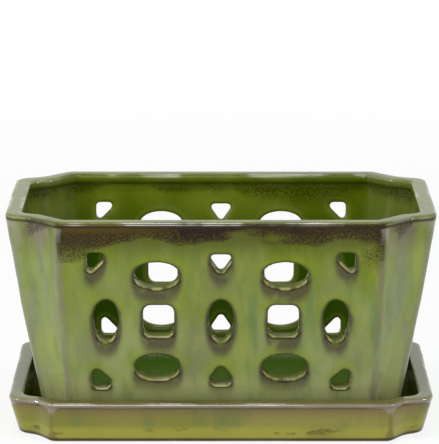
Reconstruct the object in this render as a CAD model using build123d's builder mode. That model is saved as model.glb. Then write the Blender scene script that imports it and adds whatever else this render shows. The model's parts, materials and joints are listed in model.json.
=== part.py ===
from build123d import *
import os
from math import atan2, cos, hypot, isclose, pi, sin, tan

# An orchid planter: a slotted trough of glazed ceramic that stands in its own saucer.
# Millimetres, +Z up. The origin is on the ground under the middle of the saucer, +X runs
# along the planter and -Y is its front.

os.makedirs("parts", exist_ok=True)

# Pot, outside
pot_length = 252.0  # over the rim
pot_depth = 145.0  # over the rim
pot_height = 126.0  # feet included
end_flare = 21.5  # how far the rim stands out past the base at each end
side_flare = 14.0  # and at the front and the back
wall_swell = 0.7  # how far the wall stands out of a straight taper at half height
base_round = 2.0

# Pot, inside
pot_wall = 7.0
pot_floor = 8.0
floor_cove = 6.0  # slope where the inside of the wall meets the floor

# Pot, rim
rim_width = 10.0  # over the wall and the bead inside it
rim_bead = 5.5  # height of that bead
rim_round = 1.5

# Pot, corners: a gentle run in from the end, a cove, then a slant out to the long wall
rim_corner_run = 16.0
rim_corner_rise = 6.0
rim_corner_length = 31.5
rim_corner_depth = 21.5
base_corner_run = 8.0
base_corner_rise = 3.0
base_corner_length = 16.0
base_corner_depth = 12.0
end_radius = 10.0
cove_radius = 14.0
face_radius = 6.0
corner_share = 0.45  # the most of a straight stretch that one rounded corner takes up
run_share = 0.25  # the least of a corner's run that is left inside a thick wall

# Slots through both long walls
oval_length = 26.0
oval_height = 14.4
drop_width = 14.6
drop_height = 24.5
window_size = 18.0
window_radius = 4.5
corner_notch = 13.0  # legs of the right-angled triangles at the ends of a row
middle_notch_base = 16.0  # triangles in the middle of a row
middle_notch_height = 11.5
notch_radius = 2.2
slot_round = 1.2

# Where the slots lie, as shares of the wall's height and of the flat's half length
oval_rows = (0.279, 0.744)
corner_notch_rows = (0.232, 0.796)
middle_notch_rows = (0.242, 0.795)
window_row = 0.515
oval_column = 0.393
window_column = 0.383
drop_column = 0.706
corner_notch_columns = (0.721, 0.751)

# Drain holes and feet
drain_diameter = 16.0
drain_spacing = 76.0
drain_round = 1.5
foot_height = 4.0
foot_length = 30.0
foot_width = 16.0
foot_round = 5.0
foot_inset = 7.0  # from the edge of the base

# Saucer, sized to take the pot's base
saucer_end_gap = 8.0  # between the pot's base and the saucer's wall at each end
saucer_side_gap = 4.5  # and at the front and the back
saucer_wall = 7.0
saucer_floor = 6.0
saucer_height = 25.0
saucer_flare = 5.5  # how far the rim stands out past the base
saucer_cove = 4.0
saucer_base_round = 2.0
saucer_rim_width = 9.0
saucer_rim_bead = 4.6
saucer_rim_round = 1.5
saucer_rim_corner_run = 18.0
saucer_rim_corner_rise = 6.0
saucer_rim_corner_length = 26.0
saucer_rim_corner_depth = 13.0
saucer_base_corner_run = 11.0
saucer_base_corner_rise = 6.0
saucer_base_corner_length = 20.0
saucer_base_corner_depth = 19.0

# What follows from those sizes
base_length = pot_length - 2 * end_flare
base_depth = pot_depth - 2 * side_flare
saucer_base_length = base_length + 2 * (saucer_end_gap + saucer_wall)
saucer_base_depth = base_depth + 2 * (saucer_side_gap + saucer_wall)
saucer_length = saucer_base_length + 2 * saucer_flare
saucer_depth = saucer_base_depth + 2 * saucer_flare
pot_base = saucer_floor + foot_height
pot_top = saucer_floor + pot_height
wall_height = pot_top - pot_base
floor_top = pot_base + pot_floor
flat_half = pot_length / 2 - rim_corner_length


def blend(low, high, share):
    return low + (high - low) * share


def trough_plan(height, length, depth, corner, inset=0.0):
    """Draw a trough's outline at a height, set in from its outside by a wall's thickness."""
    run, rise, corner_length, corner_depth = corner
    run_angle = atan2(rise, run)
    slant_angle = atan2(corner_depth - rise, corner_length - run)
    end_tan = tan((pi / 2 - run_angle) / 2)
    cove_tan = tan((slant_angle - run_angle) / 2)
    face_tan = tan(slant_angle / 2)

    run_whole = hypot(run, rise)
    run_left = max(run_whole - inset * (end_tan - cove_tan), run_share * run_whole)
    end_x = length / 2 - inset
    side_y = depth / 2 - inset
    end_y = depth / 2 - corner_depth - inset * end_tan
    run_x = end_x - run_left * cos(run_angle)
    run_y = end_y + run_left * sin(run_angle)
    flat_x = run_x - (side_y - run_y) / tan(slant_angle)
    slant_left = (side_y - run_y) / sin(slant_angle)
    radii = [
        min(end_radius, corner_share * run_left / end_tan),
        min(cove_radius, corner_share * min(run_left, slant_left) / cove_tan),
        min(face_radius, corner_share * slant_left / face_tan),
    ]

    corner_points = [(end_x, end_y), (run_x, run_y), (flat_x, side_y)]
    points = corner_points[:]
    points += [(-x, y) for x, y in reversed(corner_points)]
    points += [(-x, -y) for x, y in corner_points]
    points += [(x, -y) for x, y in reversed(corner_points)]
    with BuildSketch(Plane.XY.offset(height)) as plan:
        with BuildLine():
            FilletPolyline(*points, radius=2 * (radii + radii[::-1]), close=True)
        make_face()
    return plan.sketch


rim_corner = (rim_corner_run, rim_corner_rise, rim_corner_length, rim_corner_depth)
base_corner = (base_corner_run, base_corner_rise, base_corner_length, base_corner_depth)
saucer_rim_corner = (
    saucer_rim_corner_run,
    saucer_rim_corner_rise,
    saucer_rim_corner_length,
    saucer_rim_corner_depth,
)
saucer_base_corner = (
    saucer_base_corner_run,
    saucer_base_corner_rise,
    saucer_base_corner_length,
    saucer_base_corner_depth,
)


def pot_plan(height, inset=0.0):
    """Draw the pot's wall at a height: it flares from the base to the rim with a slight swell."""
    share = (height - pot_base) / wall_height
    bow = 4 * share * (1 - share)  # 1 at half height, 0 at the base and the rim
    swell = 2 * wall_swell * bow
    return trough_plan(
        height,
        blend(base_length, pot_length, share) + swell,
        blend(base_depth, pot_depth, share) + swell,
        [blend(low, high, share) for low, high in zip(base_corner, rim_corner)],
        inset,
    )


def saucer_plan(height, inset=0.0):
    """Draw the saucer's wall at a height: it flares straight from the base to the rim."""
    share = height / saucer_height
    return trough_plan(
        height,
        blend(saucer_base_length, saucer_length, share),
        blend(saucer_base_depth, saucer_depth, share),
        [blend(low, high, share) for low, high in zip(saucer_base_corner, saucer_rim_corner)],
        inset,
    )


def inner_bead(top, plan, wall, width, height, rounding):
    """Make the bead that thickens a rim on its inside, from the middle of the wall inwards."""
    with BuildPart() as bead:
        extrude(plan(top, wall / 2), amount=-height)
        extrude(plan(top, width), amount=-height, mode=Mode.SUBTRACT)
        faces = bead.faces().filter_by(Axis.Z)
        fillet([face.inner_wires()[0].edges() for face in faces], min(rounding, corner_share * height))
    return bead.part


pot_bead = inner_bead(pot_top, pot_plan, pot_wall, rim_width, rim_bead, rim_round)

# The pot: a cast trough with a hollow, slots in both long walls, drain holes and feet
with BuildPart() as pot:
    wall_levels = (pot_base, (pot_base + pot_top) / 2, pot_top)
    loft([pot_plan(height) for height in wall_levels])
    fillet(pot.faces().sort_by(Axis.Z)[0].edges(), base_round)
    fillet(pot.faces().sort_by(Axis.Z)[-1].edges(), min(rim_round, corner_share * pot_wall))

    hollow_base = floor_top + floor_cove
    hollow_levels = (hollow_base, (hollow_base + pot_top) / 2, pot_top)
    loft([pot_plan(height, pot_wall) for height in hollow_levels], mode=Mode.SUBTRACT)
    cove = [pot_plan(floor_top, pot_wall + floor_cove), pot_plan(hollow_base, pot_wall)]
    loft(cove, ruled=True, mode=Mode.SUBTRACT)

    ovals = [(side * oval_column, row) for side in (-1, 1) for row in oval_rows]
    windows = [(side * window_column, window_row) for side in (-1, 1)]
    drops = [(side * drop_column, window_row) for side in (-1, 0, 1)]
    notches = []
    for row, up in zip(middle_notch_rows, (-1, 1)):
        middle = pot_base + row * wall_height
        tip = middle - up * middle_notch_height / 2
        edge = middle + up * middle_notch_height / 2
        notches.append([(-middle_notch_base / 2, edge), (middle_notch_base / 2, edge), (0, tip)])
    for row, column, up in zip(corner_notch_rows, corner_notch_columns, (-1, 1)):
        for side in (-1, 1):
            x = side * (column * flat_half + corner_notch / 2)
            z = pot_base + row * wall_height + up * corner_notch / 2
            notches.append([(x, z), (x - side * corner_notch, z), (x, z - up * corner_notch)])
    with BuildSketch(Plane.XZ) as slots:
        with Locations([(x * flat_half, pot_base + z * wall_height) for x, z in ovals]):
            Ellipse(oval_length / 2, oval_height / 2)
        with Locations([(x * flat_half, pot_base + z * wall_height) for x, z in windows]):
            RectangleRounded(window_size, window_size, window_radius)
        with Locations([(x * flat_half, pot_base + z * wall_height) for x, z in drops]):
            Ellipse(drop_width / 2, drop_height / 2)
        for corners in notches:
            with BuildLine():
                FilletPolyline(*corners, radius=notch_radius, close=True)
            make_face()
    extrude(amount=pot_depth, both=True, mode=Mode.SUBTRACT)
    fillet(pot.edges(Select.NEW).filter_by(Axis.Y, reverse=True), slot_round)

    with BuildSketch(Plane.XY.offset(floor_top)) as drains:
        with Locations((-drain_spacing / 2, 0), (drain_spacing / 2, 0)):
            Circle(drain_diameter / 2)
    extrude(amount=-pot_floor, mode=Mode.SUBTRACT)
    rims = pot.edges().filter_by(GeomType.CIRCLE)
    drain_rims = rims.filter_by(lambda rim: isclose(rim.radius, drain_diameter / 2))
    fillet(drain_rims, drain_round)

    foot_x = base_length - 2 * base_corner_length - foot_length
    foot_y = base_depth - 2 * foot_inset - foot_width
    with BuildSketch(Plane.XY.offset(pot_base)) as feet:
        with GridLocations(foot_x, foot_y, 2, 2):
            RectangleRounded(foot_length, foot_width, foot_round)
    extrude(amount=-foot_height)

    add(pot_bead)

pot.part.label = "pot"
export_step(pot.part, "parts/pot.step")

saucer_bead = inner_bead(
    saucer_height, saucer_plan, saucer_wall, saucer_rim_width, saucer_rim_bead, saucer_rim_round
)

# The saucer: a shallow flared tray with a flat floor that the pot's feet stand on
with BuildPart() as saucer:
    loft([saucer_plan(0), saucer_plan(saucer_height)], ruled=True)
    fillet(saucer.faces().sort_by(Axis.Z)[0].edges(), saucer_base_round)
    fillet(saucer.faces().sort_by(Axis.Z)[-1].edges(), min(saucer_rim_round, corner_share * saucer_wall))

    tray_base = saucer_floor + saucer_cove
    tray = [saucer_plan(tray_base, saucer_wall), saucer_plan(saucer_height, saucer_wall)]
    loft(tray, ruled=True, mode=Mode.SUBTRACT)
    cove = [saucer_plan(saucer_floor, saucer_wall + saucer_cove), saucer_plan(tray_base, saucer_wall)]
    loft(cove, ruled=True, mode=Mode.SUBTRACT)

    add(saucer_bead)

saucer.part.label = "saucer"
export_step(saucer.part, "parts/saucer.step")
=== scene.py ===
import json
from math import radians

import bpy
import numpy as np
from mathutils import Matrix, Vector
from mathutils.kdtree import KDTree


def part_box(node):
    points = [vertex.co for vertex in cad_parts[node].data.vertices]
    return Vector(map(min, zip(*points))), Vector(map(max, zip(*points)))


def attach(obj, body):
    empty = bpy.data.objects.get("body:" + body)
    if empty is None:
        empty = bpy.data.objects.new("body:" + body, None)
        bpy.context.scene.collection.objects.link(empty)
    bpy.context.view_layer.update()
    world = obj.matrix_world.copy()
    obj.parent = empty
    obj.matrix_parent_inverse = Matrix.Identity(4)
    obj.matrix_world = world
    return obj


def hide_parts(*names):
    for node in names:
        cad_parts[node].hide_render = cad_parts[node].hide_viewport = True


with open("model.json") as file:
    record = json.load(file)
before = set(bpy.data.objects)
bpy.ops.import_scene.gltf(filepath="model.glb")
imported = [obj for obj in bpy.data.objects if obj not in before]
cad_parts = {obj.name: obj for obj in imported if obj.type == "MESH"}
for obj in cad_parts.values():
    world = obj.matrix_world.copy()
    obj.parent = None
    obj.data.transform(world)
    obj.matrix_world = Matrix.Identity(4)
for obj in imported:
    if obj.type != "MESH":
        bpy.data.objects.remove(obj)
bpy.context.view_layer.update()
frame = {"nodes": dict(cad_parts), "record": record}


# Saucer
# A shallow tray of cast stoneware, dipped in the pot's green glaze and fired beside it. It stands
# on a base that was wiped bare, and the pot's feet stand on its floor.
millimetres = 1000
saucer_grain = 0.0011
saucer_wave_size = 0.03
saucer_wave_depth = 0.0006
saucer_plain_foot = 0.004
saucer_bare_height = 0.002
saucer_end_start = 0.1
saucer_end_full = 0.115
saucer_brink = 0.0005
saucer_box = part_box("saucer")
saucer_top = saucer_box[1][2]
saucer_foot = saucer_box[0][2]


def apply_modifier(piece, name, kind, **settings):
    """Add a modifier to the active piece, set it and apply it."""
    step = piece.modifiers.new(name, kind)
    for setting, value in settings.items():
        setattr(step, setting, value)
    bpy.ops.object.modifier_apply(modifier=step.name)


def glazed_copy(node, name, grain):
    """Copy a cast piece, spread points over it at an even grain and soften it as glaze does."""
    cast = frame["nodes"][node]
    piece = bpy.data.objects.new(name, cast.data.copy())
    bpy.context.scene.collection.objects.link(piece)
    bpy.ops.object.select_all(action="DESELECT")
    piece.select_set(True)
    bpy.context.view_layer.objects.active = piece
    bpy.ops.object.mode_set(mode="EDIT")
    bpy.ops.mesh.select_all(action="SELECT")
    bpy.ops.mesh.remove_doubles(threshold=1e-6)
    bpy.ops.object.mode_set(mode="OBJECT")
    apply_modifier(piece, "even_points", "REMESH", mode="VOXEL", voxel_size=grain)
    apply_modifier(piece, "cast_face", "SHRINKWRAP", target=cast)
    apply_modifier(piece, "soft_edges", "SMOOTH", iterations=2)
    piece.data.materials.clear()
    bpy.ops.object.shade_smooth()
    return piece


def read_points(piece):
    """Give a piece's points, their normals and its edges as arrays."""
    mesh = piece.data
    points = np.zeros(len(mesh.vertices) * 3)
    mesh.vertices.foreach_get("co", points)
    normals = np.zeros(len(mesh.vertices) * 3)
    mesh.vertices.foreach_get("normal", normals)
    edges = np.zeros(len(mesh.edges) * 2, int)
    mesh.edges.foreach_get("vertices", edges)
    return points.reshape(-1, 3), normals.reshape(-1, 3), edges.reshape(-1, 2)


def spread(values, edges, rounds):
    """Average a value, or a row of values, at each point with its neighbours, over and over."""
    rows = values.reshape(len(values), -1).copy()
    ends = np.concatenate([edges, edges[:, ::-1]])
    count = np.bincount(ends[:, 0], minlength=len(rows))
    for _ in range(rounds):
        for column in range(rows.shape[1]):
            total = np.bincount(ends[:, 0], rows[ends[:, 1], column], minlength=len(rows))
            rows[:, column] = (rows[:, column] + total / count) / 2
    return rows.reshape(values.shape)


def ease(values, low, high):
    """Rise smoothly from 0 at low to 1 at high."""
    share = np.clip((values - low) / (high - low), 0, 1)
    return share * share * (3 - 2 * share)


def keep(piece, name, values):
    """Store one number for each point, for the glaze to read."""
    layer = piece.data.attributes.new(name, "FLOAT", "POINT")
    layer.data.foreach_set("value", values.astype(np.float32))


def bulge(points, normals, edges, rounds):
    """Tell how far each point stands out of the face around it: above 0 on edges, below in corners."""
    return ((points - spread(points, edges, rounds)) * normals).sum(1)


def facing_out(points, normals, box):
    """Tell how far each point faces out of a trough: 1 is straight out and -1 is straight in."""
    squareness = 5
    low, high = (np.array(corner) for corner in box)
    half = (high - low)[:2] / 2
    share = (points[:, :2] - (low + high)[:2] / 2) / half
    away = np.sign(share) * np.abs(share) ** squareness / half
    away /= np.maximum(np.linalg.norm(away, axis=1, keepdims=True), 1e-9)
    return (normals[:, :2] * away).sum(1)


def upright_share(normals):
    """Go from 1 on upright walls to 0 on floors and rims."""
    return 1 - ease(np.abs(normals[:, 2]), 0.3, 0.6)


def level_share(normals):
    """Go from 0 to 1 where a face lies level and looks up."""
    return ease(normals[:, 2], 0.8, 0.95)


def rim_share(points, normals, top):
    """Go from 0 to 1 on the level top of a rim."""
    return ease(normals[:, 2], 0.5, 0.85) * ease(points[:, 2], top - 0.003, top - 0.001)


def sharp_share(points, normals, edges):
    """Go from 0 to 1 where an edge stands out sharply."""
    return ease(bulge(points, normals, edges, rounds=6), 0.0001, 0.00035)


def bare_share(points, normals, foot, height):
    """Go from 0 to 1 on the undersides that were wiped bare, up to a height above the foot."""
    return ease(-normals[:, 2], 0.6, 0.9) * ease(-points[:, 2], -foot - height, -foot - 0.0005)


def gather(piece, name, where):
    """Name a group of a piece's points for a modifier to work on."""
    group = piece.vertex_groups.new(name=name)
    group.add(np.flatnonzero(where).tolist(), 1.0, "REPLACE")
    return group.name


def ripple(piece, size, depth, where):
    """Let the coat swell and sink a little over spots of a size, on some of its points."""
    waves = bpy.data.textures.new(piece.name + "_waves", "CLOUDS")
    waves.noise_scale = size
    waves.noise_depth = 1
    free = gather(piece, "free", where)
    apply_modifier(piece, "waves", "DISPLACE", texture=waves, strength=depth, vertex_group=free)


def dye(red, green, blue):
    """Turn a colour in screen values from 0 to 255 into the linear light that a shader takes."""
    brightest = 255
    gamma = 2.2
    return tuple((value / brightest) ** gamma for value in (red, green, blue)) + (1,)


class Glaze:
    """One value in a glaze's nodes. Python's operators on it add the Math nodes that they stand for."""

    def __init__(self, tree, socket=None):
        self.tree = tree
        self.socket = socket

    def node(self, kind, settings, inputs, output=0):
        """Add a node: its settings come first, then the values or links of its sockets."""
        made = self.tree.nodes.new(kind)
        for name, value in settings.items():
            setattr(made, name, value)
        for name, value in inputs.items():
            if isinstance(value, Glaze):
                self.tree.links.new(value.socket, made.inputs[name])
            else:
                made.inputs[name].default_value = value
        return Glaze(self.tree, made.outputs[output] if made.outputs else None)

    def math(self, operation, *values):
        """Add a Math node on some values."""
        return self.node("ShaderNodeMath", {"operation": operation}, dict(enumerate(values)))

    def __add__(self, other):
        return self.math("ADD", self, other)

    def __sub__(self, other):
        return self.math("SUBTRACT", self, other)

    def __rsub__(self, other):
        return self.math("SUBTRACT", other, self)

    def __mul__(self, other):
        return self.math("MULTIPLY", self, other)

    __radd__ = __add__
    __rmul__ = __mul__

    def fade(self, low, high):
        """Rise smoothly from 0 where the value is low to 1 where it is high."""
        ends = {"Value": self, "From Min": low, "From Max": high}
        return self.node("ShaderNodeMapRange", {"interpolation_type": "SMOOTHSTEP"}, ends)

    def blend(self, first, second):
        """Go from one colour to another as this value goes from 0 to 1."""
        colour_a = 6
        colour_b = 7
        colour_out = 2
        colours = {"Factor": self, colour_a: first, colour_b: second}
        return self.node("ShaderNodeMix", {"data_type": "RGBA"}, colours, colour_out)

    def tint(self, colour, amount):
        """Wash a colour over this one."""
        return amount.blend(self, colour)


def empty_nodes(owner):
    """Clear the nodes of a material or a world, and give the start that its values come from."""
    owner.use_nodes = True
    owner.node_tree.nodes.clear()
    return Glaze(owner.node_tree)


def glaze_start(name, top):
    """Make a material and give it, with its depth below a top and the ways to its other values."""
    material = bpy.data.materials.new(name)
    start = empty_nodes(material)
    place = start.node("ShaderNodeTexCoord", {}, {}, "Object")
    height = start.node("ShaderNodeSeparateXYZ", {}, {"Vector": place}, "Z")
    fall = (top - height) * millimetres

    def noise(size, stretch=(1, 1, 1), detail=3.0, shift=(0, 0, 0)):
        """Cloudy noise with spots of about a size in metres, drawn out along a stretched axis."""
        squeeze = tuple(1 / (size * share) for share in stretch)
        moved = {"Vector": place, "Location": shift, "Scale": squeeze}
        where = start.node("ShaderNodeMapping", {}, moved)
        return start.node("ShaderNodeTexNoise", {}, {"Vector": where, "Scale": 1.0, "Detail": detail})

    def stored(layer):
        """Read a number that was kept at each point."""
        return start.node("ShaderNodeAttribute", {"attribute_name": layer}, {}, "Fac")

    return material, start, fall, noise, stored


def glaze_finish(start, colour, roughness, thick, relief):
    """Lead a colour, a roughness, the thick glassy runs and a relief into one glossy coat."""
    bump = {"Strength": 0.3, "Distance": 0.0005, "Height": relief}
    coat = {
        "Base Color": colour,
        "Roughness": roughness,
        "Normal": start.node("ShaderNodeBump", {}, bump),
        "Specular IOR Level": 0.2,
        "Coat Weight": thick,
        "Coat IOR": 2.1,
        "Coat Roughness": 0.06,
    }
    surface = start.node("ShaderNodeBsdfPrincipled", {}, coat)
    start.node("ShaderNodeOutputMaterial", {}, {"Surface": surface})


# Softened copy of the casting, with a slow ripple in the glaze outside
saucer = glazed_copy("saucer", "glazed_saucer", saucer_grain)
points, normals, edges = read_points(saucer)
facing = facing_out(points, normals, saucer_box)
outer_face = (facing > 0.5) & (points[:, 2] > saucer_plain_foot)
ripple(saucer, saucer_wave_size, saucer_wave_depth, outer_face)

# Numbers at each point that the glaze reads
points, normals, edges = read_points(saucer)
facing = facing_out(points, normals, saucer_box)
top_face = rim_share(points, normals, saucer_top)
hollow = np.maximum(ease(-facing, -0.1, 0.4), level_share(normals))
keep(saucer, "hollow", hollow * (1 - top_face))
keep(saucer, "rim", top_face)
keep(saucer, "end", ease(np.abs(points[:, 0]), saucer_end_start, saucer_end_full))
brink = upright_share(normals) * bulge(points, normals, edges, rounds=40)
keep(saucer, "brink", brink / saucer_brink)
keep(saucer, "glint", ease(facing, -0.2, 0.2) * sharp_share(points, normals, edges))
keep(saucer, "bare", bare_share(points, normals, saucer_foot, saucer_bare_height))

saucer_glaze, start, fall, noise, stored = glaze_start("saucer_glaze", saucer_top)
flecks = noise(0.0008, detail=2.0).fade(0.46, 0.56)
clouds = noise(0.05, (1.4, 1.4, 0.9)).fade(0.38, 0.62)
streaks = noise(0.02, (1, 1, 3), shift=(3, 1, 2))

# Olive outside, tan under the rim and yellow near the base
body = clouds.blend(dye(120, 120, 54), dye(134, 129, 66))
body = body.tint(dye(96, 112, 64), 0.65 * streaks.fade(0.5, 0.66))
tan_band = (1 - fall.fade(3, 13)) * noise(0.03, (2, 2, 1)).fade(0.35, 0.55)
body = body.tint(dye(112, 94, 66), 0.7 * tan_band)
yellow_foot = fall.fade(13, 18) * noise(0.04, shift=(5, 2, 0)).fade(0.2, 0.5)
body = body.tint(dye(152, 150, 62), 0.8 * yellow_foot)
curls = noise(0.005, (2.2, 2.2, 1))
curls = curls.fade(0.55, 0.62) * (1 - curls.fade(0.65, 0.74))
curls = curls * noise(0.03, shift=(1, 3, 8)).fade(0.4, 0.6)
body = body.tint(dye(78, 64, 20), 0.65 * curls * fall.fade(14, 17) * (1 - fall.fade(19, 21)))
patches = noise(0.012, (1, 1, 2), shift=(1, 7, 5)).fade(0.35, 0.55)
edge_wear = stored("brink").fade(0.75, 1.25) * patches
body = body.tint(dye(104, 86, 56), 0.65 * edge_wear)
# A dark line just under the rim's edge: partly browner glaze, partly painted shade under the edge
rim_line_and_shade = fall.fade(1.5, 2.2) * (1 - fall.fade(2.6, 4.4))
body = body.tint(dye(62, 48, 26), 0.85 * rim_line_and_shade)
body = body.tint(dye(66, 50, 30), 0.25 * flecks * (1 - fall.fade(3, 8)))
# A dark line along the foot: partly painted contact shadow where the saucer meets the floor, partly the
# darker edge of the foot
body = body.tint(dye(48, 36, 22), 0.9 * fall.fade(21.6, 23.4))

# Dark green inside, a browner rim and a bare base
body = body.tint(dye(76, 86, 16), 0.9 * stored("hollow"))
rim = clouds.blend(dye(78, 72, 34), dye(96, 92, 52)).tint(dye(112, 114, 84), stored("end"))
body = body.tint(rim, 0.85 * stored("rim"))
body = body.tint(dye(170, 158, 138), stored("bare"))
rough = 0.09 + 0.06 * clouds + 0.5 * stored("bare")
thick = 0.7 * stored("glint") * noise(0.03, shift=(2, 6, 4)).fade(0.5, 0.6)
thick = thick + stored("brink").fade(0.7, 1.1) * (1 - fall.fade(4, 9))
glaze_finish(start, body, rough, thick, noise(0.006))

saucer.data.materials.append(saucer_glaze)
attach(saucer, "saucer")
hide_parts("saucer")


# Pot
# One slip-cast stoneware trough with slots cut through its long walls. It stands loose in the saucer.
# The glaze, inside and out, runs thin on the edges, hangs in thick lips on the lower edges of the
# slots, and breaks to brown under the rim and below each slot.
pot_grain = 0.0013
pot_triangles = 194000
pot_wave_size = 0.028
pot_wave_depth = 0.0008
pot_plain_foot = 0.012
pot_bare_height = 0.006
pot_end_start = 0.097
pot_end_full = 0.106
pool_start = 0.096
pool_full = 0.103
pool_fade = 0.109
pool_end = 0.117
left_start = 0.02
left_full = 0.06
inner_depth = 0.016
flat_half_length = 0.08
pot_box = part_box("pot")
pot_top = pot_box[1][2]
pot_foot = pot_box[0][2]
lip_swell = 0.0007
lip_drop = 0.0014
drip_swell = 0.0009
drip_width = 0.0022
drip_start = 0.0055
drip_height = 0.005
tall_slot_ratio = 1.3
slot_margin = 0.006
slot_floor_reach = 0.004
reach_limit = 0.04
least_reach = 0.0003
inner_margin = 0.01
smudge_length = 0.015
smudge_spread = 0.0025
smudge_steps = 8
openings = frame["record"]["physics"]["openings"]
slot_boxes = [np.array(hole["box_m"]) for hole in openings if hole["name"].endswith("_slots")]
drain_boxes = [np.array(hole["box_m"]) for hole in openings if hole["name"].endswith("_drain_hole")]


def around(points, boxes, margin, axes):
    """Find the points that lie within a margin of a hole's box, along two axes."""
    near = np.zeros(len(points), bool)
    for low, high in boxes:
        off = np.abs(points - (low + high) / 2) - (high - low) / 2
        near |= (off[:, axes] < margin).all(1)
    return near


def around_slots(points, margin):
    """Find the points that lie around a slot, seen straight from the front."""
    return around(points, slot_boxes, margin, (0, 2))


def slot_reach(points, normals, facing):
    """Give each point's distance from a slot, the share of it that is upward, and the smudge there."""
    cut = around_slots(points, slot_margin) & (np.abs(facing) < 0.6)
    # Both long walls are laid flat and far apart, so that each finds only its own slots
    walls = points * (1, 0, 1) + np.sign(points[:, 1:2]) * (0, 1, 0)
    tree = KDTree(int(cut.sum()))
    for number, spot in enumerate(walls[cut]):
        tree.insert(spot, number)
    tree.balance()
    nearest = [tree.find(spot) for spot in walls]
    distance = np.array([found[2] for found in nearest])
    rise = np.array([found[0][2] for found in nearest]) - points[:, 2]
    # The smudge is the slot's shape drawn down the wall, and fades on its way
    into = normals[cut] * (1, 0, 1)
    smudge = np.zeros(len(points))
    for step in range(smudge_steps):
        share = (step + 0.5) / smudge_steps
        raised = walls + (0, 0, share * smudge_length)
        found = [tree.find(spot)[1] for spot in raised]
        inset = ((raised - walls[cut][found]) * into[found]).sum(1)
        smudge = np.maximum(smudge, ease(inset, -smudge_spread, 0.0005) * (1 - share))
    return distance, rise / np.maximum(distance, least_reach), smudge


# Softened copy of the casting, with fewer points on its plain inside and underside
pot = glazed_copy("pot", "glazed_pot", pot_grain)
points, normals, edges = read_points(pot)
facing = facing_out(points, normals, pot_box)
within = (facing < -0.2) | (np.abs(normals[:, 2]) > 0.9)
within &= ~around_slots(points, inner_margin) & ~around(points, drain_boxes, inner_margin, (0, 1))
inner = gather(pot, "inner", within & (points[:, 2] < pot_top - inner_depth))
pot_faces = sum(len(face.vertices) - 2 for face in pot.data.polygons)
apply_modifier(pot, "fewer", "DECIMATE", ratio=pot_triangles / pot_faces, vertex_group=inner)

# Slow ripple in the glaze outside
points, normals, edges = read_points(pot)
facing = facing_out(points, normals, pot_box)
outer_face = (facing > 0.5) & (points[:, 2] > pot_foot + pot_plain_foot)
ripple(pot, pot_wave_size, pot_wave_depth, outer_face)

# Thick lips on the lower edges of the slots, and drips below the tall ones
points, normals, edges = read_points(pot)
slot_distance, slot_above, slot_smudge = slot_reach(points, normals, facing)
flat = (facing > 0.9) & (np.abs(points[:, 0]) < flat_half_length)
wall_curve = np.polyfit(points[flat, 2], np.abs(points[flat, 1]), 2)
sunk = np.polyval(wall_curve, points[:, 2]) - np.abs(points[:, 1])
slot_near = around_slots(points, slot_margin) * (1 - ease(slot_distance, 0.0005, 0.0035))
slot_near *= 1 - ease(sunk, 0.0005, 0.005)
lower_edge = np.maximum(ease(slot_above, 0.1, 0.8), ease(normals[:, 2], 0.1, 0.6))
lower_edge = spread(slot_near * lower_edge, edges, rounds=3)
drip = np.zeros(len(points))
for low, high in slot_boxes:
    if high[2] - low[2] > tall_slot_ratio * (high[0] - low[0]):
        column = (low[0] + high[0]) / 2
        brim = low[2] - drip_start
        across = np.exp(-((points[:, 0] - column) / drip_width) ** 2)
        hang = ease(points[:, 2], brim - drip_height, brim - 0.4 * drip_height)
        hang *= 1 - ease(points[:, 2], brim, brim + 0.6 * drip_height)
        drip += across * hang
drip *= ease(facing, 0.5, 0.9)
points += normals * (lip_swell * lower_edge + drip_swell * drip)[:, None]
points[:, 2] -= lip_drop * lower_edge
pot.data.vertices.foreach_set("co", points.ravel())
pot.data.update()

# Numbers at each point that the glaze reads
points, normals, edges = read_points(pot)
facing = facing_out(points, normals, pot_box)
along = np.abs(points[:, 0])
top_face = rim_share(points, normals, pot_top)
slot_floor = ease(normals[:, 2], 0.15, 0.55) * around_slots(points, slot_margin)
slot_floor *= slot_distance < slot_floor_reach
hollow = np.maximum(ease(-facing, 0.1, 0.5), level_share(normals))
keep(pot, "hollow", hollow * (1 - top_face))
keep(pot, "rim", top_face)
keep(pot, "level", level_share(normals) * (1 - top_face))
plain_wall = upright_share(normals) * ease(slot_distance, 0.005, 0.01)
plain_wall *= ease(points[:, 2], pot_foot + 0.008, pot_foot + 0.012)
plain_wall *= ease(-points[:, 2], 0.002 - pot_top, 0.005 - pot_top)
brink = plain_wall * ease(facing, 0.3, 0.6) * bulge(points, normals, edges, rounds=16)
keep(pot, "brink", brink / np.quantile(brink, 0.99))
keep(pot, "reach", np.minimum(slot_distance, reach_limit) * millimetres)
keep(pot, "under", spread(slot_above, edges, rounds=2))
keep(pot, "smudge", spread(slot_smudge, edges, rounds=3))
keep(pot, "slot_floor", np.maximum(slot_floor, ease(drip, 0.2, 0.6)))
# A cream line where each slot's lip turns outward: painted highlight
crest = slot_floor * (1 - ease(normals[:, 2], 0.6, 0.85)) * ease(facing, 0.2, 0.5)
keep(pot, "crest", spread(crest, edges, rounds=2))
side = np.abs(spread(normals[:, 0], edges, rounds=6))
keep(pot, "end", np.maximum(ease(side, 0.25, 0.6), ease(along, pot_end_start, pot_end_full)))
pool = ease(along, pool_start, pool_full) * (1 - ease(along, pool_fade, pool_end))
keep(pot, "pool", ease(facing, 0.2, 0.5) * pool)
keep(pot, "left", ease(-points[:, 0], left_start, left_full))
keep(pot, "lip", slot_near * ease(normals[:, 2], 0.25, 0.6) * ease(facing, 0.0, 0.3))
edge = sharp_share(points, normals, edges)
keep(pot, "edge", edge * ease(points[:, 2], pot_top - 0.004, pot_top - 0.002))
keep(pot, "bare", bare_share(points, normals, pot_foot, pot_bare_height))

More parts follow.
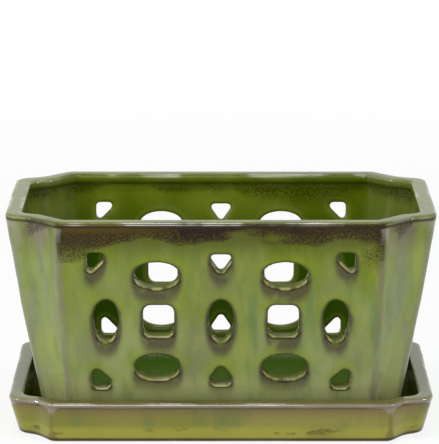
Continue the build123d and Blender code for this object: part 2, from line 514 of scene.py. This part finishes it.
pot_glaze, start, fall, noise, stored = glaze_start("pot_glaze", pot_top)
reach = stored("reach")
under = stored("under")
end = stored("end")
speckle = noise(0.0008, detail=2.0)
flecks = speckle.fade(0.46, 0.56)
clouds = noise(0.04, (1, 1, 1.8)).fade(0.38, 0.62)
streaks = noise(0.014, (1, 1, 6), shift=(2, 5, 1))

# Green field: yellower near the rim, greyer near the base, paler and run down in streaks at the ends
body = (0.35 * clouds + 0.65 * fall.fade(16, 84)).blend(dye(102, 117, 6), dye(132, 142, 90))
lower = 0.3 + 0.7 * fall.fade(12, 60)
body = body.tint(dye(90, 118, 74), 0.65 * lower * streaks.fade(0.5, 0.66))
dull = noise(0.03, (1, 1, 2), shift=(4, 9, 2)).fade(0.52, 0.68)
body = body.tint(dye(110, 106, 86), 0.4 * lower * dull)
fresh = noise(0.022, (1, 1, 3.5), shift=(7, 1, 4)).fade(0.5, 0.66)
body = body.tint(dye(126, 138, 36), 0.45 * fresh)
body = body.tint(dye(138, 148, 96), 0.6 * end)
runs = noise(0.011, (1, 1, 9), shift=(3, 7, 6))
body = body.tint(dye(142, 156, 58), 0.5 * end * runs.fade(0.52, 0.64))
body = body.tint(dye(118, 128, 104), 0.55 * end * (1 - runs.fade(0.38, 0.48)))
# Paler low on the wall: partly the glaze's greyer tone there, partly painted light that lifts the shade
# the saucer casts
body = body.tint(dye(156, 160, 110), 0.75 * fall.fade(86, 108))
green_foot = fall.fade(106, 114) * noise(0.03, shift=(5, 5, 5)).fade(0.4, 0.55)
body = body.tint(dye(118, 136, 26), 0.6 * green_foot)
mottle = noise(0.007, (1, 1, 2.5), shift=(6, 8, 1))
body = body.tint(dye(90, 110, 30), 0.28 * mottle.fade(0.5, 0.68))
body = body.tint(dye(146, 152, 84), 0.25 * (1 - mottle.fade(0.34, 0.48)))

# Around the slots: a bright halo above, a brown smudge, and a dark line below that is partly painted
# shade
halo = (1 - reach.fade(1.5, 9)) * (1 - under.fade(-0.4, 0.4))
body = body.tint(dye(118, 136, 16), 0.45 * halo)
smudge = stored("smudge").fade(0.0, 0.5) * noise(0.012).fade(0.15, 0.5)
smudge = smudge * (1 - 0.85 * fall.fade(94, 108))
body = body.tint(dye(74, 66, 52), smudge * (0.8 + 0.14 * flecks))
# A dark outline round each slot, heaviest below: partly glaze gathered at the edge, partly painted
# shade
slot_ring_and_shade = reach.fade(0.1, 0.4) * (1 - reach.fade(0.7, 1.7))
body = body.tint(dye(40, 34, 6), slot_ring_and_shade * (0.25 + 0.65 * under.fade(0.0, 0.6)))
body = body.tint(dye(56, 76, 14), 0.7 * (1 - reach.fade(0.2, 0.7)))

# Thin, worn glaze on the edges of the corners
patches = noise(0.01, (1, 1, 3.5), shift=(1, 8, 3)).fade(0.3, 0.58)
edge_wear = stored("brink").fade(0.35, 1.05) * patches
body = body.tint(dye(118, 112, 94), 0.75 * edge_wear)

# Under the rim: a brown band that breaks into specks, pale patches and stains at the ends, and a dark
# line under the edge that is partly painted shade
body = body.tint(dye(68, 68, 2), 0.75 * (1 - fall.fade(8, 26)) * (1 - 0.8 * end))
pale = noise(0.02, (1, 1, 2), shift=(8, 3, 5)).fade(0.45, 0.62)
body = body.tint(dye(156, 154, 138), 0.6 * pale * end * (1 - fall.fade(4, 34)))
body = body.tint(dye(112, 98, 100), 0.5 * stored("pool") * (1 - fall.fade(6, 26)))
band_low = 5 + 19 * noise(0.05, (1.2, 1.2, 0.5), shift=(1, 1, 3)).fade(0.36, 0.62)
solid = (1 - fall.fade(2.5, band_low * 0.75)) * (1 - 0.8 * stored("left"))
solid = solid * (0.3 + 0.7 * noise(0.03, shift=(9, 4, 1)).fade(0.42, 0.58))
thin_out = 1 - fall.fade(band_low * 0.4, band_low * 1.3)
spotty = (speckle + 0.17 * thin_out).fade(0.56, 0.63) * thin_out.fade(0.0, 0.3)
spotty = spotty * (1 - stored("left") * (1 - fall.fade(3, 8)))
band = 1 - fall.fade(band_low * 0.3, band_low * 1.3)
body = body.tint(dye(76, 60, 6), 0.8 * band * (1 - 0.85 * end))
body = body.tint(dye(34, 22, 0), (0.6 * solid + 0.7 * spotty) * (1 - 0.9 * end))
stain_low = 4 + 12 * noise(0.012, shift=(4, 6, 8)).fade(0.35, 0.65)
stain = stored("pool") * (1 - fall.fade(stain_low * 0.4, stain_low))
body = body.tint(dye(56, 42, 10), stain * (0.45 + 0.45 * flecks))
# A dark line just under the rim's edge: partly browner glaze, partly painted shade under the edge
rim_line_and_shade = fall.fade(1.5, 2.2) * (1 - fall.fade(2.6, 4.2))
body = body.tint(dye(46, 34, 18), 0.8 * rim_line_and_shade)

# Inside: darker green below, with a shade of brown specks under the bead
inside = clouds.blend(dye(86, 101, 20), dye(103, 116, 32))
inside = inside.tint(dye(50, 84, 8), 0.8 * fall.fade(16, 45))
inside = inside.tint(dye(112, 124, 22), 0.5 * (1 - reach.fade(1.5, 5)))
end_runs = noise(0.007, (1, 1, 12)).fade(0.48, 0.66)
inside = inside.tint(dye(112, 120, 68), end * (0.35 + 0.5 * end_runs))
shade_low = 9 + 16 * noise(0.04, shift=(3, 3, 1)).fade(0.3, 0.7)
shade = fall.fade(5.0, 6.5) * (1 - fall.fade(shade_low * 0.5, shade_low))
inside = inside.tint(dye(46, 38, 12), shade * (0.25 + 0.55 * flecks))
body = body.tint(inside, stored("hollow"))

# Slot floors, a dark line under their lips that is partly painted shadow, a painted highlight along
# their lips, the top of the rim and the bare feet
# A dark line just under each lip: partly painted shadow of the lip, partly brown glaze
shade_line_under_lip = reach.fade(0.6, 1.2) * (1 - reach.fade(1.6, 3.0)) * under.fade(0.2, 0.7)
body = body.tint(dye(34, 26, 4), 0.75 * shade_line_under_lip * (1 - stored("hollow")))
body = body.tint(dye(88, 94, 8), 0.85 * stored("slot_floor"))
# A painted highlight: a cream line along the outer edge of each lip
body = body.tint(dye(166, 162, 96), 0.7 * stored("crest").fade(0.14, 0.5))
rim = clouds.blend(dye(84, 89, 14), dye(106, 112, 34)).tint(dye(98, 107, 44), end)
body = body.tint(rim, 0.9 * stored("rim"))
body = body.tint(dye(170, 158, 138), stored("bare"))
rough = 0.08 + 0.06 * clouds + 0.4 * stored("level") + 0.5 * stored("bare")
thick = stored("lip") * (0.12 + 0.6 * noise(0.008, shift=(1, 4, 7)).fade(0.48, 0.62))
thick = thick + 0.7 * stored("edge") * noise(0.03, shift=(6, 2, 9)).fade(0.5, 0.6)
thick = thick + stored("brink").fade(0.5, 0.95) * (1 - fall.fade(5, 15))
glaze_finish(start, body, rough, thick, noise(0.006))

pot.data.materials.append(pot_glaze)
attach(pot, "pot")
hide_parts("pot")


# Studio
# A pale floor that carries on to a white background, a long lamp overhead, one at each side and a
# wide one in front, and the camera straight in front, looking down over the rim.
floor_size = 6
floor_near = 0.3
floor_far = 1.2
floor_white = 0.85
paper_colour = (0.85, 0.85, 0.84, 1)
white_light = (1, 1, 1, 1)
air_light = 0.55


def rays_that_look(first):
    """Give 1 for rays from the camera, off gloss or through clear things, and 0 for all others."""
    kinds = ("Is Camera Ray", "Is Glossy Ray", "Is Transmission Ray")
    looks = [first.node("ShaderNodeLightPath", {}, {}, kind) for kind in kinds]
    return first.math("MINIMUM", looks[0] + looks[1] + looks[2], 1.0)


bpy.ops.object.select_all(action="DESELECT")
bpy.ops.mesh.primitive_plane_add(size=floor_size, location=(0, 0, 0))
floor = bpy.context.object
floor.name = "floor"
paper = bpy.data.materials.new("floor_paper")
sheet = empty_nodes(paper)
white = sheet.node("ShaderNodeEmission", {}, {"Color": white_light, "Strength": 1.0})
matt = sheet.node("ShaderNodeBsdfDiffuse", {}, {"Color": paper_colour})
place = sheet.node("ShaderNodeTexCoord", {}, {}, "Object")
span = sheet.node("ShaderNodeVectorMath", {"operation": "LENGTH"}, {0: place}, "Value")
whiteness = floor_white + (1 - floor_white) * span.fade(floor_near, floor_far)
layers = {0: rays_that_look(sheet) * whiteness, 1: matt, 2: white}
surface = sheet.node("ShaderNodeMixShader", {}, layers)
sheet.node("ShaderNodeOutputMaterial", {}, {"Surface": surface})
floor.data.materials.append(paper)

world = bpy.data.worlds.new("studio")
bpy.context.scene.world = world
air = empty_nodes(world)
strength = air_light + (1 - air_light) * rays_that_look(air)
glow = air.node("ShaderNodeBackground", {}, {"Color": white_light, "Strength": strength})
air.node("ShaderNodeOutputWorld", {}, {"Surface": glow})


def lamp(name, place, aim, width, height, power):
    """Hang a soft box at a place and turn it to a point on the planter."""
    light = bpy.data.lights.new(name, "AREA")
    light.shape = "RECTANGLE"
    light.size = width
    light.size_y = height
    light.energy = power
    box = bpy.data.objects.new(name, light)
    box.location = place
    box.rotation_euler = (Vector(aim) - Vector(place)).to_track_quat("-Z", "Y").to_euler()
    bpy.context.scene.collection.objects.link(box)


middle = (0, 0, 0.07)
lamp("lamp_above", (0, -0.2, 1.2), middle, 0.7, 0.1, 6)
lamp("lamp_left", (-1.25, -0.6, 0.6), middle, 0.1, 0.6, 7)
lamp("lamp_right", (1.3, -0.7, 0.55), middle, 0.1, 0.6, 3.5)
lamp("lamp_front", (-0.4, -2.2, 0.7), middle, 1.0, 0.5, 8)

# Camera at the photograph's viewing angle and frame
photo_width = 439
photo_height = 444
photo_focus = 2829.5
axis_column = 221.0
axis_row = 305.0
camera_back = 1.6514
camera_height = 0.4948
camera_dip = 14.6
lens = bpy.data.cameras.new("camera")
lens.sensor_fit = "HORIZONTAL"
lens.sensor_width = 36
lens.lens = lens.sensor_width * photo_focus / photo_width
lens.shift_x = (photo_width / 2 - axis_column) / photo_width
lens.shift_y = (axis_row - photo_height / 2) / photo_width
camera = bpy.data.objects.new("camera", lens)
camera.location = (0, -camera_back, camera_height)
camera.rotation_euler = (radians(90 - camera_dip), 0, 0)
bpy.context.scene.collection.objects.link(camera)
bpy.context.scene.camera = camera
bpy.context.scene.view_settings.view_transform = "Standard"
